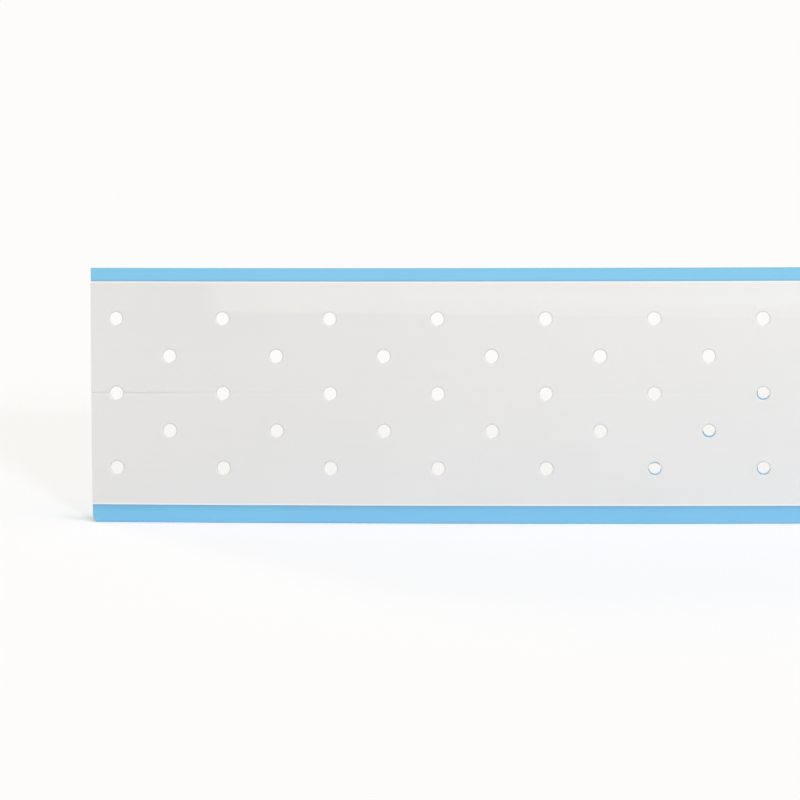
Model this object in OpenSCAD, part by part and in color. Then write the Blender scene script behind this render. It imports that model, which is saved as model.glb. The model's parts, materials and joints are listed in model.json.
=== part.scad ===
// Roll of perforated two-ply tape with its free end pulled out.
//
// The roll stands on its end on the plane z = 0, with +Z along the bore of the core.
// The tape leaves the roll at x = 0 on the -Y side and runs towards -X. It has two plies:
// a light-blue base tape, and a narrower pale-grey cover film on the tape's outer face.
// Both plies are punched together in staggered rows of round holes.
// The flexible run is drawn as short flat segments with a hinge axis at every joint.

/* [Tape] */
// Width of the base tape, which is the height of the standing roll
tape_w = 28.9; // [27.6:0.1:40]
// Thickness of the base tape
tape_t = 0.5; // [0.4:0.05:0.8]
// Width of the cover film
film_w = 25.4; // [23:0.1:26]
// Thickness of the cover film
film_t = 0.15; // [0.1:0.05:0.2]
// Width of the blue margin that the film leaves bare along its lower edge
lower_margin = 2; // [0.5:0.1:2.1]
// Radius of the free end's lower corner
corner_r = 0.7; // [0.3:0.1:1.5]

/* [Perforation] */
// Diameter of each punched hole
hole_d = 1.45; // [0.8:0.05:2.5]
// Distance between two holes of one row, along the tape
hole_pitch = 12.25; // [10:0.25:16]
// Distance between two neighbouring rows, across the tape
row_pitch = 4.24; // [3:0.02:4.6]
// Distance from the cut end to the centre of the first holes
end_inset = 2.9; // [1.5:0.1:4]

/* [Free run] */
// Number of hinged segments beyond the fixed lead
segments = 9; // [3:1:9]
// Turn from one segment to the next at rest, in degrees, left in the tape by the roll
rest_turn = 1; // [0:0.5:3]
// Gap between the ends of two neighbouring segments
segment_gap = 0.2; // [0.2:0.05:0.4]
// Distance from the last joint to the line where the film's end starts to peel
peel_start = 7; // [6:0.1:7.5]

/* [Roll] */
// Radius of the core's bore
bore_r = 12.7; // [10:0.1:16]
// Wall of the core
core_wall = 1.8; // [1:0.1:3]
// Number of turns of tape on the core
turns = 20; // [6:1:40]

/* [Hidden] */
$fn = 96;
rows = 5;
ply = tape_t + film_t;
core_r = bore_r + core_wall;
roll_r = core_r + turns * ply;
axis_r = roll_r - film_t - tape_t / 2;
film_z = lower_margin;
middle_z = film_z + film_w / 2;
tip_length = end_inset + hole_pitch * 3 / 4;
wrap_step = 3.75;
punch = 4;

// ---- The tape's path ----

// Radius of the roll's outer face, a number of degrees back from where the tape leaves it
function wrap_r(back) = roll_r - ply * back / 360;

// A point on the spiral, a depth below the roll's outer face
function wrap_point(back, depth) =
    (wrap_r(back) - depth) * [cos(back - 90), sin(back - 90)];

// The spiral from 0 to 360 degrees back, at one depth
function wrap_line(depth) = [for (back = [0:wrap_step:360]) wrap_point(back, depth)];

function reversed(points) = [for (i = [len(points) - 1:-1:0]) points[i]];

// Heading of segment n, in degrees clockwise from -X. The lead is segment 0.
function heading(n) = n * rest_turn;

// Axis of the joint where segment n begins. The lead begins at the roll.
function joint_at(n) = n == 0
    ? [0, -axis_r]
    : joint_at(n - 1) + hole_pitch * [-cos(heading(n - 1)), sin(heading(n - 1))];

// Where segment n starts and ends, measured from its joint along the tape
function segment_start(n) = n == 0 ? 0 : segment_gap / 2;
function segment_end(n) = n == segments ? tip_length : hole_pitch - segment_gap / 2;

// ---- The holes ----

// Heights of the holes at a quarter of a segment (rows 2 and 4) and at three quarters
// (rows 1, 3 and 5)
function hole_heights(quarter) =
    [for (row = [1:rows]) if ((row % 2 == 0) == (quarter == 1))
        middle_z + (row - (rows + 1) / 2) * row_pitch];

// One column of punches along Y, centred on the origin
module punches(quarter) {
    for (z = hole_heights(quarter))
        translate([0, 0, z])
            rotate([90, 0, 0])
                cylinder(h = punch, d = hole_d, center = true, $fn = 32);
}

// ---- The flat segments ----

// Takes children from the frame of segment n, where the tape runs from 0 towards -X, to its place
module along_run(n) {
    translate(joint_at(n)) rotate([0, 0, -heading(n)]) children();
}

// A flat perforated strip of one ply in its segment's frame
module strip(start, end, y_low, thickness, z_low, height) {
    difference() {
        translate([-end, y_low, z_low])
            cube([end - start, thickness, height]);
        for (quarter = [1, 3])
            translate([-hole_pitch * quarter / 4, 0, 0]) punches(quarter);
    }
}

// Removes what lies outside the round lower corner of the free end
module corner_cutter() {
    rotate([90, 0, 0])
        linear_extrude(punch, center = true)
            difference() {
                translate([-1, -1]) square(corner_r + 1);
                translate([corner_r, corner_r]) circle(corner_r, $fn = 48);
            }
}

module tape_segment(n) {
    color("#84C6EC")
        along_run(n)
            difference() {
                strip(segment_start(n), segment_end(n), -tape_t / 2, tape_t, 0, tape_w);
                if (n == segments)
                    translate([-tip_length, 0, 0]) corner_cutter();
            }
}

// The film over segment n, between two distances from the segment's joint
module film_strip(n, start, end) {
    color("#E6E5E3")
        along_run(n)
            strip(start, end, -tape_t / 2 - film_t, film_t, film_z, film_w);
}

module film_segment(n) {
    end = n == segments ? peel_start - segment_gap / 2 : segment_end(n);
    film_strip(n, segment_start(n), end);
}

// The end of the film, which lifts off the tape when it is peeled
module film_tip() film_strip(segments, peel_start + segment_gap / 2, tip_length);

module lead_tape() tape_segment(0);

module lead_film() film_segment(0);

// ---- The roll ----

// Punches a full turn of the tape, column by column back from where it leaves the roll
module turn_punches() {
    turn_r = axis_r - ply / 2;
    columns = floor(2 * PI * turn_r / hole_pitch * 2) - 1;
    for (column = [0:columns])
        rotate([0, 0, (column + 0.5) * hole_pitch / 2 / turn_r * 180 / PI])
            translate([0, -axis_r, 0])
                punches(column % 2 == 0 ? 3 : 1);
}

// One ply of the outer turn, between two depths below the roll's outer face
module outer_turn(depth_low, depth_high, z_low, height) {
    difference() {
        translate([0, 0, z_low])
            linear_extrude(height)
                polygon(concat(wrap_line(depth_low), reversed(wrap_line(depth_high))));
        turn_punches();
    }
}

module outer_turn_tape() {
    color("#84C6EC") outer_turn(film_t, ply, 0, tape_w);
}

module outer_turn_film() {
    color("#E6E5E3") outer_turn(0, film_t, film_z, film_w);
}

// All the turns under the outer one
module wound_tape() {
    color("#7DBFE6")
        linear_extrude(tape_w)
            difference() {
                polygon(wrap_line(ply));
                circle(core_r);
            }
}

module core_tube() {
    color("#C9B08A")
        difference() {
            cylinder(h = tape_w, r = core_r);
            translate([0, 0, -1]) cylinder(h = tape_w + 2, r = bore_r);
        }
}

core_tube();
wound_tape();
outer_turn_tape();
outer_turn_film();
lead_tape();
lead_film();
for (n = [1:segments]) {
    tape_segment(n);
    film_segment(n);
}
film_tip();
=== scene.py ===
"""Roll of perforated two-ply tape with its free end pulled out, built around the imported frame.

All lengths are in metres. The tape's path is measured by s: 0 where the tape leaves the roll,
positive along the free run, negative back round the roll. z is the height across the tape, and
off is the distance from the base tape's middle plane towards the film's side.
"""
import json
import math
import random

import bpy
import numpy as np
from mathutils import Matrix, Vector


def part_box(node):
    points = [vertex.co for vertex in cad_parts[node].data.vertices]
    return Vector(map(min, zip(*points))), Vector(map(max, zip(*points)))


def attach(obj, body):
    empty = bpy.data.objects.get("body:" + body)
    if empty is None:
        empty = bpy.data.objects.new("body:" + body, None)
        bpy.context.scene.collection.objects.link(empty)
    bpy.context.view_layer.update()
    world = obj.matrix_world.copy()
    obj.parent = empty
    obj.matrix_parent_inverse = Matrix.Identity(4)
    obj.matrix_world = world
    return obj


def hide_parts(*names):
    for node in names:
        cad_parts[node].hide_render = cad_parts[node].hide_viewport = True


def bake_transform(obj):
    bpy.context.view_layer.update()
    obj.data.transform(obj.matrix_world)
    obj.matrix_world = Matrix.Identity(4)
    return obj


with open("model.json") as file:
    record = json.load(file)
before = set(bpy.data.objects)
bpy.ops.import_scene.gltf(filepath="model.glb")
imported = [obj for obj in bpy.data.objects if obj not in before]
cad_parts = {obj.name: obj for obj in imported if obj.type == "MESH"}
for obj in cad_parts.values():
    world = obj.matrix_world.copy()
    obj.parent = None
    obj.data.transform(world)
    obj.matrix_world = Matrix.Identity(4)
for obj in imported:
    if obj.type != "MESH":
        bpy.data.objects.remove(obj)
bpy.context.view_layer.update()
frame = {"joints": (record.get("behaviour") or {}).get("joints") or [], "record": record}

MM = 0.001

# ---- Sizes, read from the frame ----

lead_lo, lead_hi = (Vector(c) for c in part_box("lead_tape"))
lead_film_lo, _ = (Vector(c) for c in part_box("lead_film"))
film_lo, film_hi = (Vector(c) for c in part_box("film_1"))
core_lo, core_hi = (Vector(c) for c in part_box("core_tube"))
tape_end_lo, _ = (Vector(c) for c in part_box("tape_9"))

TAPE_W = core_hi.z - core_lo.z
TAPE_T = lead_hi.y - lead_lo.y
FILM_T = lead_lo.y - lead_film_lo.y
FILM_Z0, FILM_Z1 = film_lo.z, film_hi.z
PLY = TAPE_T + FILM_T
ROLL_R = -lead_film_lo.y
AXIS_R = ROLL_R - FILM_T - TAPE_T / 2
CORE_R = core_hi.x
BORE_R = next(m for m in frame["record"]["mounts"] if m["name"] == "core_bore")["dims"]["r_mm"] * MM
TURNS = round((ROLL_R - CORE_R) / PLY)

joint_at = {j["name"]: Vector(j["pos_m"]) for j in frame["joints"]}
SEGMENTS = sum(name.startswith("curl_") for name in joint_at)
first_link = (joint_at["curl_2"] - joint_at["curl_1"]).to_2d()
second_link = (joint_at["curl_3"] - joint_at["curl_2"]).to_2d()
PITCH = first_link.length
TURN = abs(first_link.angle_signed(second_link))
end_heading = SEGMENTS * TURN
TIP = ((joint_at[f"curl_{SEGMENTS}"].x - tape_end_lo.x - TAPE_T / 2 * math.sin(end_heading))
       / math.cos(end_heading))
S_END = SEGMENTS * PITCH + TIP

HALF = PITCH / 2
BEND_R = HALF / math.tan(TURN / 2)
WRAP_MID_R = AXIS_R - PLY / 2
S_START = -2 * math.pi * WRAP_MID_R

# ---- Details that the frame doesn't hold ----

HOLE_R = 0.725 * MM
ROW_PITCH = 4.24 * MM
ROWS = 5
MIDDLE_ROW = 3
CORNER_R = 0.7 * MM  # the free end's lower corner
CORNER_REACH = 2.2 * MM  # how far along the tape the corner's rounding moves points
TAPE_CHAMFER = 0.04 * MM
FILM_CHAMFER = 0.03 * MM
FILM_LIFT = 0.004 * MM  # gap between the film and the base tape
SCORE_HALF = 0.12 * MM  # half the width of the score along the middle row
RIM = 0.15 * MM  # how far round a hole the punch draws the film in
FLAT_RING = 0.04 * MM  # a flat ring of film round the rim, so the rim's shading ends there
UNDERCUT = 0.1 * MM  # how far the soft base tape springs back from the punch
WORN_FROM = 15  # least sum, for a worn hole, of its column from the free end and row from the top
SEAM_RISE = 62 * MM  # how far the core's spiral rises in one turn

FILM_MID = (FILM_Z0 + FILM_Z1) / 2

# ---- The grid of a ribbon's mesh ----

BLOCK = 1.0 * MM  # half the side of the square of grid that holds a hole
CELLS = 6  # cells along each side of that square
RING = 4 * CELLS  # points round the square and round the hole
BLOCK_EDGE = ([(CELLS, b) for b in range(CELLS // 2, CELLS)]
              + [(a, CELLS) for a in range(CELLS, 0, -1)]
              + [(0, b) for b in range(CELLS, 0, -1)]
              + [(a, 0) for a in range(CELLS)]
              + [(CELLS, b) for b in range(CELLS // 2)])
STEP_ALONG = 1.5 * MM
STEP_ACROSS = 1.7 * MM
FINE_STEP_ACROSS = 0.4 * MM  # for the film's ridge, above the top row
SHORTEST_STEP = 0.3 * MM
SHARP_ANGLE = 30  # degrees between two faces, above which their edge is sharp
DIGITS = 9  # grid lines are looked up to the nanometre
CLOSE = 1e-6  # a smaller difference is rounding


def row_z(row):
    """Height of a row of holes, counted from 1 at the bottom."""
    return FILM_MID + (row - (ROWS + 1) / 2) * ROW_PITCH


# ---- The tape's path ----

def path(s):
    """Middle line of the base tape and its outward normal, as two arrays of x and y."""
    s = np.asarray(s, float)
    back = np.where(s < 0, -s / WRAP_MID_R, 0.0)
    wrap_r = AXIS_R - PLY * back / (2 * math.pi)
    wrap_n = np.stack([np.sin(back), -np.cos(back)], -1)
    wrap_p = wrap_r[..., None] * wrap_n
    heading = np.clip((s - HALF) / PITCH, 0, SEGMENTS) * TURN
    run_n = np.stack([-np.sin(heading), -np.cos(heading)], -1)
    along = np.stack([-np.cos(heading), np.sin(heading)], -1)
    lead = np.clip(s, 0, HALF)
    over = np.maximum(s - HALF - SEGMENTS * PITCH, 0)
    centre = np.stack([-lead, np.full_like(s, BEND_R - AXIS_R)], -1)
    run_p = centre + BEND_R * run_n + over[..., None] * along
    wound = (s < 0)[..., None]
    return np.where(wound, wrap_p, run_p), np.where(wound, wrap_n, run_n)


def smooth(x, a, b):
    """0 below a, 1 above b, and a smooth step between."""
    t = np.clip((x - a) / (b - a), 0, 1)
    return t * t * (3 - 2 * t)


def wave(s, z):
    """The slight cockle of the free run, in metres: three ripples of 0.022 mm and less."""
    grow = smooth(s, 22 * MM, 60 * MM)
    u, v = s / MM, z / MM  # the ripples are worked out in millimetres
    ripples = (0.022 * np.sin(u / 9.1 + 0.11 * v)
               + 0.014 * np.sin(u / 4.3 - 0.2 * v + 1.3)
               + 0.012 * np.sin(v / 4.7 + u / 31.0))
    return grow * MM * ripples


def film_relief(s, z):
    """The film's own relief: a soft ridge under its upper edge, and the score in its middle row.

    The score is cut at the free end, fades over 29 mm, and shows faintly again further on.
    """
    ridge_height, ridge_reach, ridge_slope = 0.03 * MM, 0.85 * MM, 0.012
    score_depth, faint_depth = 0.075 * MM, 0.008 * MM
    from_end = S_END - s
    ridge_z = FILM_Z1 - 2.1 * MM - ridge_slope * (from_end - 12 * MM)
    ridge = ridge_height * np.exp(-((z - ridge_z) / ridge_reach) ** 2)
    ridge = ridge * smooth(from_end, 8 * MM, 20 * MM) * smooth(s, 14 * MM, 30 * MM)
    at_end = ((1 - 0.75 * smooth(from_end, 4 * MM, 18 * MM))
              * (1 - smooth(from_end, 24 * MM, 29 * MM)))
    further = (smooth(from_end, 50 * MM, 54 * MM)
               * (1 - smooth(from_end, 70 * MM, 74 * MM)))
    depth = score_depth * at_end + faint_depth * further
    score = depth * np.clip(1 - np.abs(z - row_z(MIDDLE_ROW)) / SCORE_HALF, 0, 1)
    return ridge - score


def at(s, z=0.0):
    """A point on the path as a tuple."""
    (x, y), _ = path(s)
    return (float(x), float(y), z)


# ---- Ribbons ----

def filled(breaks, step):
    """Sorted breaks with even values between them, none further apart than step(middle)."""
    out = [breaks[0]]
    for a, b in zip(breaks, breaks[1:]):
        parts = max(1, math.ceil((b - a) / step((a + b) / 2) - CLOSE))
        out += [a + (b - a) * k / parts for k in range(1, parts + 1)]
    return out


def block_offsets(row):
    """Grid lines across a hole's block. The middle row's are closer at the score."""
    inner, outer = BLOCK / 3, BLOCK * 2 / 3
    if row == MIDDLE_ROW:
        inner, outer = SCORE_HALF, 0.4 * BLOCK
    return [-BLOCK, -outer, -inner, 0, inner, outer, BLOCK]


def lines_across(film, z_a, z_b, chamfer):
    """Heights of the grid lines, from the lower edge to the upper one."""
    breaks = [z_a, z_a + chamfer]
    if not film:
        breaks += [CORNER_R / 4, CORNER_R / 2, CORNER_R, FILM_Z0]
    for row in range(1, ROWS + 1):
        breaks += [row_z(row) + d for d in block_offsets(row)]
    if not film:
        breaks.append(FILM_Z1)
    breaks += [z_b - chamfer, z_b]
    above = row_z(ROWS) + BLOCK
    return filled(breaks, lambda z: FINE_STEP_ACROSS if film and z > above else STEP_ACROSS)


def lines_along(s_a, s_b, chamfer, free_end):
    """Grid lines from s_a to s_b, and the columns of holes that lie wholly between them."""
    breaks, columns = [s_a], []
    for column in range(math.floor(s_a / HALF + CLOSE), math.ceil(s_b / HALF - CLOSE)):
        middle = (column + 0.5) * HALF
        if middle - BLOCK > breaks[-1] + chamfer and middle + BLOCK < s_b - chamfer:
            columns.append((column, middle))
            breaks += [middle + d * BLOCK / 3 for d in range(-3, 4)]
        edge = (column + 1) * HALF
        if edge < s_b - SHORTEST_STEP:
            breaks.append(edge)
    if free_end:
        breaks.append(s_b - chamfer)
    breaks.append(s_b)
    return filled(breaks, lambda s: STEP_ALONG), columns


def ragged(column, row):
    """How far the base tape stands inside the film's hole, at each point round it, in metres.

    Far from the free end the worn holes show a blue crescent low down, and some a second one
    opposite. The lowest rows start to show them first.
    """
    rng = random.Random(1000 * (column + 200) + row)  # a seed of its own for every hole
    columns_from_end = round((S_END - (column + 0.5) * HALF) / HALF - 0.5)
    if columns_from_end + (ROWS + 1 - row) < WORN_FROM:
        return [0.0] * RING
    # A crescent is its middle and its reach to each side in degrees, and its height in metres.
    low = rng.uniform(235, 305)
    crescents = [(low, rng.uniform(80, 125), rng.uniform(0.11, 0.17) * MM)]
    if rng.random() < 0.65:
        opposite = low + 180 + rng.uniform(-25, 25)
        crescents.append((opposite, rng.uniform(35, 65), rng.uniform(0.07, 0.13) * MM))
    out = []
    for k in range(RING):
        inset = 0.0
        for middle, reach, height in crescents:
            off = abs((360 * k / RING - middle + 180) % 360 - 180) / reach
            if off < 1:
                shown = height * math.sqrt(1 - off * off) * rng.uniform(0.85, 1.0)
                inset = max(inset, UNDERCUT + shown)
        out.append(inset)
    return out


def hole_rings(film, front, rear, chamfer):
    """The rings of a hole's wall from front to rear: (radius beyond HOLE_R, off) each.

    The film's rim curves in over three of its rings.
    """
    if film:
        return ((RIM + FLAT_RING, front), (RIM, front), (0.45 * RIM, front - 0.28 * RIM),
                (0, front - 0.7 * RIM), (0, rear + chamfer), (chamfer, rear))
    return ((UNDERCUT + chamfer, front), (UNDERCUT, front - chamfer),
            (UNDERCUT, rear + chamfer), (UNDERCUT + chamfer, rear))


def strip_mesh(name, s_a, s_b, film, free_end=False):
    """One ply of the tape from s_a to s_b, perforated, with chamfered edges and hole rims."""
    if film:
        z_a, z_b, chamfer = FILM_Z0, FILM_Z1, FILM_CHAMFER
        front, rear = TAPE_T / 2 + FILM_T, TAPE_T / 2 + FILM_LIFT
    else:
        z_a, z_b, chamfer = 0.0, TAPE_W, TAPE_CHAMFER
        front, rear = TAPE_T / 2, -TAPE_T / 2
    zs = lines_across(film, z_a, z_b, chamfer)
    ss, columns = lines_along(s_a, s_b, chamfer, free_end)
    s_index = {round(s, DIGITS): i for i, s in enumerate(ss)}
    z_index = {round(z, DIGITS): j for j, z in enumerate(zs)}
    top, end = len(zs) - 1, len(ss) - 1
    points, faces, known = [], [], {}

    def add(s, z, off):
        points.append((s, z, off))
        return len(points) - 1

    def corner(i, j, side):
        """The point of grid line i along and j across, on the front side or the rear one."""
        if (i, j, side) not in known:
            off = front if side else rear
            if j in (0, top) or (free_end and i == end):
                off += -chamfer if side else chamfer
            known[i, j, side] = add(ss[i], zs[j], off)
        return known[i, j, side]

    def hole_ring(middle, row, grow, off, inset):
        """The points of one ring round a hole. Inset makes the base tape's hole ragged."""
        ring = []
        for k in range(RING):
            r = HOLE_R + grow - (0 if film else inset[k])
            angle = 2 * math.pi * k / RING
            ring.append(add(middle + r * math.cos(angle), row_z(row) + r * math.sin(angle), off))
        return ring

    punched = set()
    for column, middle in columns:
        i0 = s_index[round(middle - BLOCK, DIGITS)]
        for row in (1, 3, 5) if column % 2 else (2, 4):
            j0 = z_index[round(row_z(row) - BLOCK, DIGITS)]
            punched |= {(i0 + a, j0 + b) for a in range(CELLS) for b in range(CELLS)}
            inset = ragged(column, row)
            chain = [[corner(i0 + a, j0 + b, True) for a, b in BLOCK_EDGE]]
            chain += [hole_ring(middle, row, grow, off, inset)
                      for grow, off in hole_rings(film, front, rear, chamfer)]
            chain.append([corner(i0 + a, j0 + b, False) for a, b in BLOCK_EDGE])
            for outer, inner in zip(chain, chain[1:]):
                for k in range(RING):
                    n = (k + 1) % RING
                    faces.append((outer[k], inner[k], inner[n], outer[n]))
    for i in range(end):
        for j in range(top):
            if (i, j) in punched:
                continue
            square = ((i, j), (i, j + 1), (i + 1, j + 1), (i + 1, j))
            faces.append([corner(*c, True) for c in square])
            faces.append([corner(*c, False) for c in square[:1] + square[:0:-1]])
    for i in range(end):
        faces.append((corner(i, 0, True), corner(i + 1, 0, True),
                      corner(i + 1, 0, False), corner(i, 0, False)))
        faces.append((corner(i, top, True), corner(i, top, False),
                      corner(i + 1, top, False), corner(i + 1, top, True)))
    for j in range(top):
        faces.append((corner(end, j, True), corner(end, j + 1, True),
                      corner(end, j + 1, False), corner(end, j, False)))
        faces.append((corner(0, j, True), corner(0, j, False),
                      corner(0, j + 1, False), corner(0, j + 1, True)))

    s, z, off = np.array(points).T.copy()
    if free_end and not film:
        low = np.clip(1 - z / CORNER_R, 0, 1)
        cut = CORNER_R * (1 - np.sqrt(1 - low ** 2))
        s = s - cut * np.clip(1 - (S_END - s) / CORNER_REACH, 0, 1)
    lift = off + wave(s, z)
    if film:
        outside = off > TAPE_T / 2 + FILM_T / 2
        lift = lift + np.where(outside, film_relief(s, z), 0)
    return finish_mesh(name, s, z, off, lift, faces)


def link_object(name, data):
    """An object with this data, in the scene."""
    obj = bpy.data.objects.new(name, data)
    bpy.context.scene.collection.objects.link(obj)
    return obj


def make_object(name, points, faces):
    """A smooth-shaded mesh object in the scene, with sharp edges kept sharp."""
    mesh = bpy.data.meshes.new(name)
    mesh.from_pydata(points, [], faces)
    mesh.validate()
    mesh.shade_smooth()
    mesh.set_sharp_from_angle(angle=math.radians(SHARP_ANGLE))
    return link_object(name, mesh)


def finish_mesh(name, s, z, off, lift, faces):
    """Lays (s, z) points on the path, lift away from the middle plane, and makes the object."""
    middle, normal = path(s)
    xy = middle + lift[:, None] * normal
    obj = make_object(name, np.column_stack([xy, z]).tolist(), faces)
    strip = obj.data.attributes.new("strip", "FLOAT_VECTOR", "POINT")
    strip.data.foreach_set("vector", np.column_stack([s, z, off]).astype(np.float32).ravel())
    return obj


def wound_mesh(name, film):
    """One ply of all the turns under the outer one, as one long spiral with uneven edges."""
    per_turn, per_knot = 90, 30  # steps in a turn, and between two knots of the uneven edge
    uneven = 0.14 * MM
    low_share = 1 if film else 0.3  # the tape's lower edge stands on the table and is more even
    gap = 0.01 * MM  # between one turn's film and the next turn's base tape
    rng = random.Random(7 if film else 3)
    if film:
        z_a, z_b, chamfer = FILM_Z0, FILM_Z1, FILM_CHAMFER
        front, rear = TAPE_T / 2 + FILM_T - gap, TAPE_T / 2 + FILM_LIFT
    else:
        z_a, z_b, chamfer = 0.0, TAPE_W, TAPE_CHAMFER
        front, rear = TAPE_T / 2, -TAPE_T / 2 + gap
    steps = per_turn * (TURNS - 2)
    knots = [rng.uniform(0, 1) for _ in range(steps // per_knot + 3)]
    points, faces = [], []
    n = 8  # points round the strip's section
    for i in range(steps + 1):
        s = S_START * (1 + i / per_turn)
        k, part = divmod(i / per_knot, 1)
        part = part * part * (3 - 2 * part)
        shift = knots[int(k)] * (1 - part) + knots[int(k) + 1] * part
        shift *= uneven * min(1, i / per_turn)
        low, high = z_a + shift * low_share, z_b - shift
        ring = [(high, front - chamfer), (high - chamfer, front),
                (low + chamfer, front), (low, front - chamfer),
                (low, rear + chamfer), (low + chamfer, rear),
                (high - chamfer, rear), (high, rear + chamfer)]
        points += [(s, z, off) for z, off in ring]
        if i:
            a, b = n * (i - 1), n * i
            faces += [(a + m, b + m, b + (m + 1) % n, a + (m + 1) % n) for m in range(n)]
    faces.append(tuple(range(n)))
    faces.append(tuple(n * steps + m for m in reversed(range(n))))
    s, z, off = np.array(points).T.copy()
    return finish_mesh(name, s, z, off, off, faces)


# ---- Core tube ----

def core_mesh(name):
    """A spiral-wound board tube: rounded rims with ply lines on them, and a seam up its bore."""
    wall = CORE_R - BORE_R
    rounding, rounding_steps = 0.25 * MM, 4
    line_half, line_depth = 0.06 * MM, 0.07 * MM  # the groove between two plies of board
    wall_steps, around = 36, 144
    twist = 2 * math.pi / SEAM_RISE
    # The seam's lines up the bore, as (angle in radians, depth), and the plain ones round the rest.
    seam_depth = 0.11 * MM
    seam = ((0.0, 0.0), (0.0108, seam_depth), (0.0264, seam_depth), (0.0372, 0.0))
    seam_end, parts = seam[-1][0], around - 3
    columns = list(seam) + [(seam_end + (2 * math.pi - seam_end) * k / parts, 0.0)
                            for k in range(1, parts)]

    # The lower rim from the bore outwards, as (radius, drop), then the closed profile round it.
    turns = [math.radians(90 * step / rounding_steps) for step in range(rounding_steps, -1, -1)]
    arc = [(rounding * (1 - math.sin(a)), rounding * (1 - math.cos(a))) for a in turns]
    rim = [(BORE_R + inset, drop) for inset, drop in arc]
    for ply in (1, 2):
        r = BORE_R + wall * ply / 3
        rim += [(r - line_half, 0), (r, line_depth), (r + line_half, 0)]
    rim += [(CORE_R - inset, drop) for inset, drop in reversed(arc)]
    heights = [TAPE_W - rounding - (TAPE_W - 2 * rounding) * k / wall_steps
               for k in range(1, wall_steps)]
    profile = ([(r, TAPE_W - drop) for r, drop in reversed(rim)]
               + [(BORE_R, z) for z in heights]
               + rim
               + [(CORE_R, z) for z in reversed(heights)])

    points, faces = [], []
    for r, z in profile:
        on_bore = abs(r - BORE_R) < CLOSE
        for angle, depth in columns:
            sunk = r + (depth if on_bore else 0.0)
            turned = angle + twist * z
            points.append((sunk * math.cos(turned), sunk * math.sin(turned), z))
    n = len(columns)
    for a in range(len(profile)):
        b = (a + 1) % len(profile)
        faces += [(a * n + k, a * n + (k + 1) % n, b * n + (k + 1) % n, b * n + k)
                  for k in range(n)]
    return make_object(name, points, faces)


# ---- Materials ----

class Nodes:
    """A short way to build a material's nodes."""

    def __init__(self, name):
        self.material = bpy.data.materials.new(name)
        self.material.use_nodes = True
        self.tree = self.material.node_tree
        self.shader = self.tree.nodes["Principled BSDF"]

    def add(self, kind, inputs=None, **settings):
        """A node. Each of its inputs is a constant or another node's output."""
        node = self.tree.nodes.new("ShaderNode" + kind)
        for key, value in settings.items():
            setattr(node, key, value)
        for key, value in (inputs or {}).items():
            if isinstance(value, bpy.types.NodeSocket):
                self.tree.links.new(value, node.inputs[key])
            else:
                node.inputs[key].default_value = value
        return node

    def maths(self, operation, a, b=0.0):
        return self.add("Math", {0: a, 1: b}, operation=operation).outputs[0]

    def times(self, a, b):
        return self.maths("MULTIPLY", a, b)

    def weighted(self, a, b, share):
        """The sum of a times share and b times the rest."""
        return self.maths("ADD", self.times(a, share), self.times(b, 1 - share))

    def noise(self, vector, scale, detail, roughness):
        return self.add("TexNoise", {"Vector": vector, "Scale": scale, "Detail": detail,
                                     "Roughness": roughness}).outputs["Fac"]

    def remap(self, value, a, b, low=0.0, high=1.0):
        """Low where the value is a or beyond, high where it is b or beyond."""
        return self.add("MapRange", {"Value": value, "From Min": a, "From Max": b,
                                     "To Min": low, "To Max": high}).outputs["Result"]

    def mix(self, factor, a, b):
        """Colour a where the factor is 0, and b where it is 1."""
        return self.add("Mix", {0: factor, 6: a, 7: b}, data_type="RGBA").outputs[2]

    def bump(self, height, strength, distance, under=None):
        """A bump's normal, on top of the one under it."""
        inputs = {"Height": height, "Strength": strength, "Distance": distance}
        if under is not None:
            inputs["Normal"] = under
        return self.add("Bump", inputs).outputs["Normal"]

    def link(self, socket, name):
        self.tree.links.new(socket, self.shader.inputs[name])

    def set(self, **values):
        for key, value in values.items():
            self.shader.inputs[key.replace("_", " ")].default_value = value


def rgba(r, g, b):
    return (r, g, b, 1.0)


def strip_coordinates(nodes):
    """The strip attribute as a vector, and its three numbers: s, z and off."""
    vector = nodes.add("Attribute", attribute_name="strip").outputs["Vector"]
    s, z, off = nodes.add("SeparateXYZ", {0: vector}).outputs
    return vector, s, z, off


def stretched(nodes, vector, along):
    """The strip's coordinates squeezed along the tape, for lines that run with it."""
    scale = (along, 1.0, 1.0)
    return nodes.add("VectorMath", {0: vector, 1: scale}, operation="MULTIPLY").outputs[0]


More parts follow.
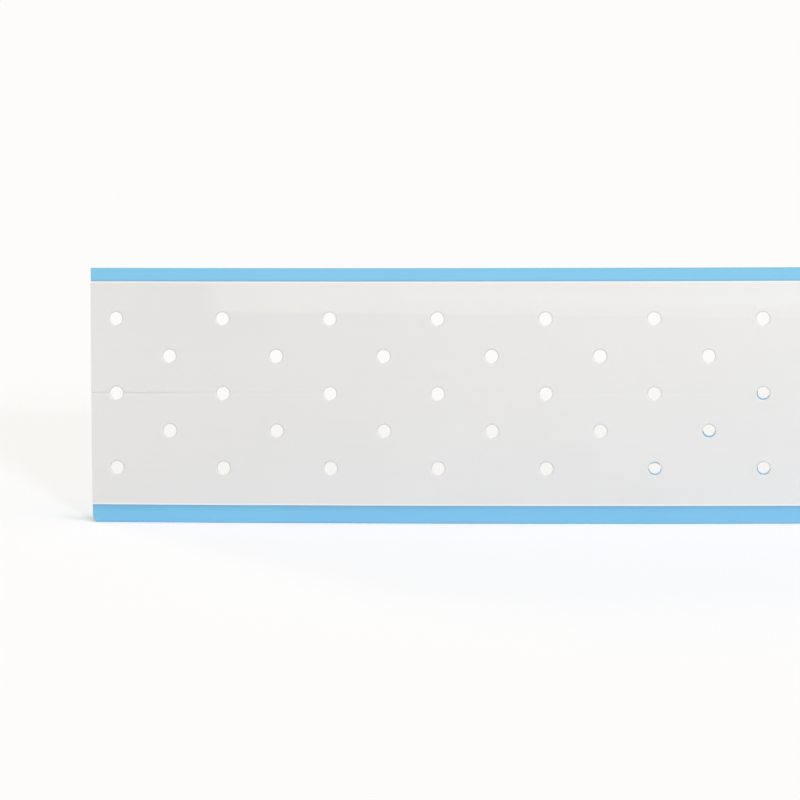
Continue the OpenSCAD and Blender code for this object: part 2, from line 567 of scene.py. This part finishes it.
def tape_material():
    """Soft light-blue plastic, with painted light on its upper margin and painted shade along its
    upper edge and in a thin line beside the film.
    """
    dark, light = rgba(0.148, 0.400, 0.583), rgba(0.170, 0.437, 0.613)
    painted_light_upper_margin = rgba(0.198, 0.482, 0.645)
    painted_shade_beside_film = rgba(0.17, 0.33, 0.47)
    painted_shade_upper_edge = rgba(0.16, 0.30, 0.40)

    nodes = Nodes("light_blue_soft_plastic")
    vector, s, z, off = strip_coordinates(nodes)
    cloud = nodes.noise(vector, scale=55, detail=3, roughness=0.55)
    lines = nodes.noise(stretched(nodes, vector, 0.03), scale=2600, detail=2, roughness=0.6)
    grain = nodes.noise(vector, scale=5200, detail=2, roughness=0.6)

    tone = nodes.remap(nodes.weighted(cloud, lines, 0.6), 0.3, 0.7)
    colour = nodes.mix(tone, dark, light)
    # Painted light: the blue margin above the film is mixed half-way towards a lighter blue.
    above_film = nodes.remap(z, FILM_Z1 - 0.2 * MM, FILM_Z1)
    colour = nodes.mix(nodes.times(above_film, 0.5), colour, painted_light_upper_margin)

    # Painted shade: a thin darker line on the blue on each side of the film, on the front of the
    # tape only.
    low_side = nodes.times(nodes.remap(z, FILM_Z0 - 0.32 * MM, FILM_Z0 - 0.12 * MM),
                           nodes.remap(z, FILM_Z0 + 0.1 * MM, FILM_Z0 + 0.3 * MM, 1.0, 0.0))
    high_side = nodes.times(nodes.remap(z, FILM_Z1 - 0.3 * MM, FILM_Z1 - 0.1 * MM),
                            nodes.remap(z, FILM_Z1 + 0.12 * MM, FILM_Z1 + 0.3 * MM, 1.0, 0.0))
    on_front = nodes.remap(off, 0.0, TAPE_T / 4, 0.0, 0.45)
    shade = nodes.times(nodes.maths("ADD", low_side, high_side), on_front)
    colour = nodes.mix(shade, colour, painted_shade_beside_film)

    # Painted shade: a thin darker line along the tape's upper edge, stronger further from the free
    # end.
    at_edge = nodes.remap(z, TAPE_W - 0.16 * MM, TAPE_W - 0.05 * MM)
    fading = nodes.remap(s, S_END - 90 * MM, S_END - 30 * MM, 0.45, 0.1)
    colour = nodes.mix(nodes.times(at_edge, fading), colour, painted_shade_upper_edge)

    roughness = nodes.remap(nodes.weighted(cloud, grain, 0.5), 0.3, 0.7, 0.42, 0.56)
    line_bump = nodes.bump(lines, strength=0.25, distance=0.04 * MM)
    nodes.link(colour, "Base Color")
    nodes.link(roughness, "Roughness")
    nodes.link(nodes.bump(grain, strength=0.35, distance=0.03 * MM, under=line_bump), "Normal")
    nodes.set(Specular_IOR_Level=0.42)
    return nodes.material


def film_material():
    """Pale-grey film, with painted light towards its top, a painted highlight band under its upper
    edge and painted highlights at its edges.
    """
    dark, light = rgba(0.614, 0.580, 0.547), rgba(0.638, 0.603, 0.568)
    painted_light_top = rgba(0.679, 0.633, 0.583)
    painted_highlight_colour = rgba(0.716, 0.675, 0.622)
    painted_edge_highlight = rgba(0.76, 0.725, 0.67)
    band_slope = 0.011  # the band's lower edge climbs by this much along the tape

    nodes = Nodes("pale_grey_film")
    vector, s, z, _ = strip_coordinates(nodes)
    cloud = nodes.noise(vector, scale=42, detail=3, roughness=0.55)
    lines = nodes.noise(stretched(nodes, vector, 0.02), scale=1500, detail=2, roughness=0.6)
    grain = nodes.noise(vector, scale=4200, detail=3, roughness=0.6)
    peel = nodes.noise(vector, scale=420, detail=2, roughness=0.5)

    tone = nodes.remap(nodes.weighted(cloud, lines, 0.7), 0.3, 0.7)
    colour = nodes.mix(tone, dark, light)
    # Painted light: the film is mixed towards a lighter grey towards its top, less so near the free
    # end.
    painted_light_rise = nodes.times(nodes.remap(z, FILM_Z0, FILM_Z1, 0.1, 0.9),
                       nodes.remap(s, S_END - 65 * MM, S_END - 20 * MM, 1.0, 0.35))
    colour = nodes.mix(painted_light_rise, colour, painted_light_top)

    # Painted highlight: a lighter band under the upper edge whose lower edge climbs along the tape,
    # stopping 12.5 to 15.5 mm before the free end.
    band_start = FILM_Z1 - 3.4 * MM - band_slope * (S_END - 13 * MM)
    band_low = nodes.maths("ADD", nodes.times(s, band_slope), band_start)
    over_band_low = nodes.maths("SUBTRACT", z, band_low)
    painted_highlight_band = nodes.times(nodes.remap(over_band_low, -0.15 * MM, 0.15 * MM),
                       nodes.remap(s, S_END - 15.5 * MM, S_END - 12.5 * MM, 1.0, 0.0))
    painted_highlight_band = nodes.times(painted_highlight_band, nodes.remap(cloud, 0.3, 0.6, 0.55, 1.0))
    colour = nodes.mix(nodes.times(painted_highlight_band, 0.5), colour, painted_highlight_colour)

    # Painted highlight: the film is mixed towards a lighter colour within about 0.24 mm of its
    # lower and upper edges.
    from_middle = nodes.maths("ABSOLUTE", nodes.maths("SUBTRACT", z, FILM_MID))
    half = (FILM_Z1 - FILM_Z0) / 2
    edge = nodes.remap(from_middle, half - 0.24 * MM, half - 0.1 * MM)
    colour = nodes.mix(nodes.times(edge, 0.75), colour, painted_edge_highlight)

    roughness = nodes.remap(nodes.weighted(cloud, grain, 0.6), 0.3, 0.7, 0.30, 0.42)
    peel_bump = nodes.bump(peel, strength=0.12, distance=0.06 * MM)
    nodes.link(colour, "Base Color")
    nodes.link(roughness, "Roughness")
    nodes.link(nodes.bump(grain, strength=0.22, distance=0.02 * MM, under=peel_bump), "Normal")
    nodes.set(Specular_IOR_Level=0.5)
    return nodes.material


def board_material():
    """Brown board whose fibres run along the spiral of the winding, with dark specks."""
    dark, light = rgba(0.345, 0.248, 0.152), rgba(0.47, 0.352, 0.228)
    speck_colour = rgba(0.16, 0.10, 0.06)

    nodes = Nodes("spiral_wound_board")
    position = nodes.add("TexCoord").outputs["Object"]
    x, y, z = nodes.add("SeparateXYZ", {0: position}).outputs
    angle = nodes.maths("ARCTAN2", y, x)
    helix = nodes.maths("SUBTRACT", nodes.times(angle, SEAM_RISE / (2 * math.pi)), z)
    along_fibre = nodes.times(angle, 0.6 * MM)
    fibres = nodes.add("CombineXYZ", {0: along_fibre, 1: helix, 2: nodes.times(z, 0.15)})
    fibre = nodes.noise(fibres.outputs[0], scale=1900, detail=4, roughness=0.65)
    blot = nodes.noise(position, scale=160, detail=4, roughness=0.6)
    speck = nodes.noise(position, scale=2600, detail=2, roughness=0.5)

    tone = nodes.remap(nodes.weighted(fibre, blot, 0.55), 0.35, 0.65)
    colour = nodes.mix(tone, dark, light)
    colour = nodes.mix(nodes.remap(speck, 0.62, 0.75, 0.0, 0.5), colour, speck_colour)
    speck_bump = nodes.bump(speck, strength=0.3, distance=0.05 * MM)
    nodes.link(colour, "Base Color")
    nodes.link(nodes.remap(blot, 0.3, 0.7, 0.78, 0.92), "Roughness")
    nodes.link(nodes.bump(fibre, strength=0.5, distance=0.12 * MM, under=speck_bump), "Normal")
    nodes.set(Specular_IOR_Level=0.3)
    return nodes.material


tape_look, film_look, board_look = tape_material(), film_material(), board_material()


def dress(obj, film):
    """Gives a strip piece its material."""
    obj.data.materials.append(film_look if film else tape_look)
    return obj


# ---- Pieces ----

core = core_mesh("core_board_tube")
core.data.materials.append(board_look)
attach(core, "roll")
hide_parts("core_tube")

for film in (False, True):
    kind = "film" if film else "tape"
    wound = dress(wound_mesh(f"wound_turns_{kind}", film), film)
    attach(wound, "roll")
    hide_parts("wound_tape")

for film in (False, True):
    kind = "film" if film else "tape"
    lead = dress(strip_mesh(f"{kind}_outer_turn_and_lead", S_START, HALF, film), film)
    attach(lead, "roll")
    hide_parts(f"outer_turn_{kind}", f"lead_{kind}")
    for n in range(1, SEGMENTS + 1):
        a, b = (n - 0.5) * PITCH, (n + 0.5) * PITCH
        piece = dress(strip_mesh(f"{kind}_bend_{n}", a, b, film), film)
        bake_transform(piece)
        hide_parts(f"{kind}_{n}")
    tip_start, fold = (SEGMENTS + 0.5) * PITCH, SEGMENTS * PITCH
    tip = dress(strip_mesh(f"{kind}_end", tip_start, S_END, film, free_end=True), film)
    if film:
        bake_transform(tip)
        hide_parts("film_tip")
    else:
        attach(tip, f"segment_{SEGMENTS}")
        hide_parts(f"tape_{SEGMENTS}")

# ---- Floor, light and camera ----

FLOOR_REACH = 40.0
FLOOR_DROP = 0.02 * MM  # keeps the floor clear of the tape's lower edge
FILL_AT = (-0.02, -0.092, 0.8)
CAMERA_S, CAMERA_Z = 87.02 * MM, 13.97 * MM  # the point on the tape that the camera looks at
DISTANCE = 0.9
AZIMUTH, ELEVATION, ROLL = math.radians(-0.285), math.radians(4.113), math.radians(-0.377)
LENS_MM, SENSOR_MM = 358.09, 36.0
CLIP_NEAR, CLIP_FAR = 0.02, 200.0

scene = bpy.context.scene

floor_mesh = bpy.data.meshes.new("floor")
floor_mesh.from_pydata([(FLOOR_REACH * x, FLOOR_REACH * y, 0)
                        for x, y in ((-1, -1), (1, -1), (1, 1), (-1, 1))], [], [(0, 1, 2, 3)])
floor_nodes = Nodes("pale_table")
floor_nodes.set(Base_Color=rgba(0.86, 0.86, 0.86), Roughness=0.9, Specular_IOR_Level=0.0)
floor_mesh.materials.append(floor_nodes.material)
floor = link_object("floor", floor_mesh)
floor.location.z = -FLOOR_DROP


def away(azimuth, elevation):
    """The direction from the part to a lamp or the camera, azimuth 0 being -Y."""
    return Vector((math.sin(azimuth) * math.cos(elevation),
                   -math.cos(azimuth) * math.cos(elevation),
                   math.sin(elevation)))


def sun(name, azimuth, elevation, colour, strength, angle):
    """A far lamp. Azimuth 0 shines along +Y, and a positive one comes from the right."""
    data = bpy.data.lights.new(name, "SUN")
    data.color, data.energy, data.angle = colour, strength, math.radians(angle)
    lamp = link_object(name, data)
    direction = away(math.radians(azimuth), math.radians(elevation))
    lamp.rotation_euler = direction.to_track_quat("Z", "Y").to_euler()


sun("front_key", azimuth=9.2, elevation=8.5, colour=(0.655, 0.80, 1.0), strength=1.5, angle=4.4)
sun("overhead", azimuth=12.0, elevation=75.0, colour=(0.802, 0.811, 1.0), strength=1.55, angle=16.0)
sun("back_light", azimuth=200.0, elevation=14.0, colour=(1.0, 0.84, 0.60), strength=0.66, angle=9.0)

fill_data = bpy.data.lights.new("front_fill", "SPOT")
fill_data.color, fill_data.energy = (0.30, 0.46, 1.0), 1.3
fill_data.spot_size, fill_data.spot_blend = math.radians(16), 1.0
fill_data.shadow_soft_size = 0.05
link_object("front_fill", fill_data).location = FILL_AT

world = bpy.data.worlds.new("studio")
world.use_nodes = True
background = world.node_tree.nodes["Background"]
background.inputs["Color"].default_value = rgba(1.0, 0.975, 0.807)
background.inputs["Strength"].default_value = 0.661
scene.world = world
scene.view_settings.view_transform = "Standard"
scene.view_settings.look = "None"

back = away(AZIMUTH, ELEVATION)
right = (-back).cross(Vector((0, 0, 1))).normalized()
up = right.cross(-back)
right, up = (right * math.cos(ROLL) + up * math.sin(ROLL),
             up * math.cos(ROLL) - right * math.sin(ROLL))
camera_data = bpy.data.cameras.new("camera")
camera_data.lens, camera_data.sensor_width = LENS_MM, SENSOR_MM
camera_data.clip_start, camera_data.clip_end = CLIP_NEAR, CLIP_FAR
camera = link_object("camera", camera_data)
camera.matrix_world = Matrix((right, up, back)).transposed().to_4x4()
camera.location = Vector(at(CAMERA_S, CAMERA_Z)) + back * DISTANCE
scene.camera = camera
